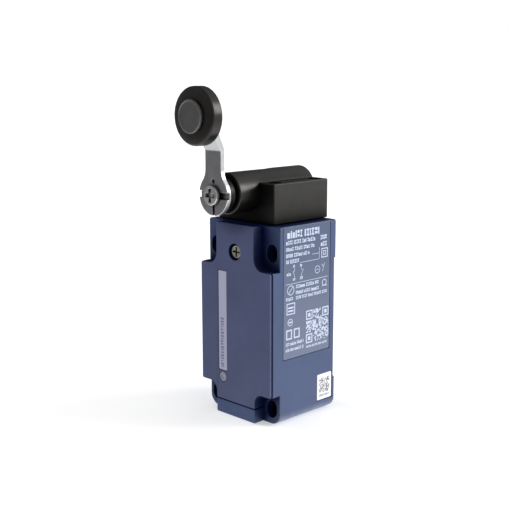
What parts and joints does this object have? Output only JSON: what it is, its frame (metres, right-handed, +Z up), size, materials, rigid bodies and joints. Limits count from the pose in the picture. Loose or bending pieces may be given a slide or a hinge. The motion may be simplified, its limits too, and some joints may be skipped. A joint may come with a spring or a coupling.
{
  "type": "limit switch",
  "caption": "Limit switch with a spring-return roller lever on a boxy head, a rectangular body with a screwed cover, corner fixing slots and a cable entry underneath.",
  "frame": {"origin": "on the back mounting plane, midway between the two lower fixing slots", "axes": "+X to the right of the cover, towards the rating label; +Y back into the mounting surface; +Z up, from the cable entry to the lever"},
  "size_m": [0.0386, 0.0577, 0.1272],
  "materials": {
    "blue_housing": "satin moulded polymer",
    "blue_cover": "satin moulded polymer",
    "rubber_seal": "matte rubber",
    "steel_screw": "zinc plated",
    "pale_plate": "satin inlay",
    "label_foil": "satin foil",
    "white_sticker": "paper label",
    "black_head": "fine grained black polymer",
    "shaft_steel": "turned steel",
    "bush_bronze": "sintered bronze",
    "spring_steel": "drawn wire",
    "dark_steel": "burnished",
    "lever_steel": "zinc plated pressed plate",
    "roller_plastic": "polished nylon",
    "grey_plastic": "moulded contact block",
    "red_plastic": "moulded contact carrier",
    "contact_brass": "stamped, silvered tips"
  },
  "bodies": {
    "body": {"housing": "blue_housing", "rating_label": "label_foil", "matrix_sticker": "white_sticker", "head_body": "black_head", "head_gasket": "rubber_seal", "head_screw_1": "steel_screw", "head_screw_2": "steel_screw", "head_screw_3": "steel_screw", "head_screw_4": "steel_screw", "front_bush": "bush_bronze", "rear_bush": "bush_bronze", "shaft_seal": "rubber_seal", "return_spring": "spring_steel", "contact_base": "grey_plastic", "contact_spring": "spring_steel", "fixed_contact_open_left": "contact_brass", "fixed_contact_open_right": "contact_brass", "fixed_contact_closed_left": "contact_brass", "fixed_contact_closed_right": "contact_brass", "terminal_screw_low_left": "steel_screw", "terminal_screw_low_right": "steel_screw", "terminal_screw_high_left": "steel_screw", "terminal_screw_high_right": "steel_screw", "block_screw_left": "steel_screw", "block_screw_right": "steel_screw"},
    "cover": {"cover": "blue_cover", "cover_gasket": "rubber_seal", "cover_screw": "steel_screw", "name_strip": "pale_plate", "round_mark": "pale_plate"},
    "lever": {"lever_arm": "lever_steel", "lever_screw": "steel_screw", "roller_axle": "dark_steel", "shaft": "shaft_steel", "cam": "dark_steel", "shaft_clip": "spring_steel"},
    "roller": {"roller": "roller_plastic"},
    "plunger": {"head_plunger": "dark_steel"},
    "contacts": {"contact_plunger": "red_plastic", "moving_bridge": "contact_brass"}
  },
  "joints": [
    {"name": "lever_swing", "type": "hinge", "parent": "body", "child": "lever", "pos_m": [0, -0.0465, 0.0818], "axis": [0, 1, 0], "range_deg": [-75, 75], "stiffness_Nm_per_rad": 0.15},
    {"name": "roller_spin", "type": "hinge", "parent": "lever", "child": "roller", "pos_m": [0, -0.05365, 0.1106], "axis": [0, 1, 0], "continuous": true},
    {"name": "plunger_travel", "type": "slide", "parent": "body", "child": "plunger", "axis": [0, 0, -1], "range_m": [0, 0.0015], "stiffness_N_per_m": 1500, "deforming": ["return_spring"]},
    {"name": "contact_travel", "type": "slide", "parent": "body", "child": "contacts", "axis": [0, 0, -1], "range_m": [0, 0.0015], "deforming": ["contact_spring"]},
    {"name": "cover_lift_off", "type": "slide", "parent": "body", "child": "cover", "axis": [0, -1, 0], "range_m": [0, 0.03]}
  ],
  "couplings": [
    {"joint": "contact_travel", "follows": "plunger_travel", "ratio": 1}
  ]
}
